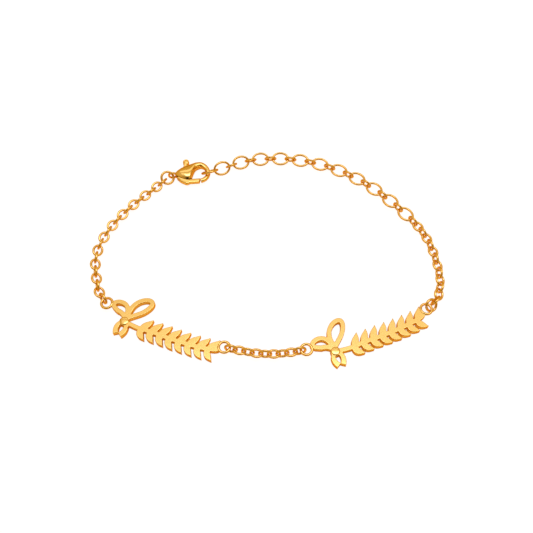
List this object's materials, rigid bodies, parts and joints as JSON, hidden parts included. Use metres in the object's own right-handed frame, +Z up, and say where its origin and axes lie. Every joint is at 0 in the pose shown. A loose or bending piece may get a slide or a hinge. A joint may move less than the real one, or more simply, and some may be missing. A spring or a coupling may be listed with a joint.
{
  "type": "nameplate bracelet",
  "caption": "Gold-plated chain bracelet with openwork nameplates showing a bow and laurel, an extender chain and a lobster clasp.",
  "frame": {"origin": "middle of the closed loop, on the table that it lies on", "axes": "+X along the loop's longer way to the right, +Y away from the nameplates to the clasp's side, +Z up"},
  "size_m": [0.0748, 0.0526, 0.0025],
  "materials": {
    "plated_plate": "polished gold plating",
    "plated_chain": "polished gold plating",
    "plated_clasp": "polished gold plating"
  },
  "bodies": {
    "bracelet": {"nameplate_left": "plated_plate", "nameplate_right": "plated_plate", "cable_chain_left": "plated_chain", "cable_chain_centre": "plated_chain", "cable_chain_right": "plated_chain", "extender_chain": "plated_chain", "jump_ring_clasp": "plated_chain", "jump_ring_plate": "plated_chain", "clasp_body": "plated_clasp"},
    "lever": {"clasp_lever": "plated_clasp"}
  },
  "joints": [
    {"name": "lever_pivot", "type": "hinge", "parent": "bracelet", "child": "lever", "pos_m": [-0.01887, 0.01908, 0.00115], "axis": [0, 0, 1], "range_deg": [0, 25], "stiffness_Nm_per_rad": 0.004, "springref_deg": -28.65}
  ]
}
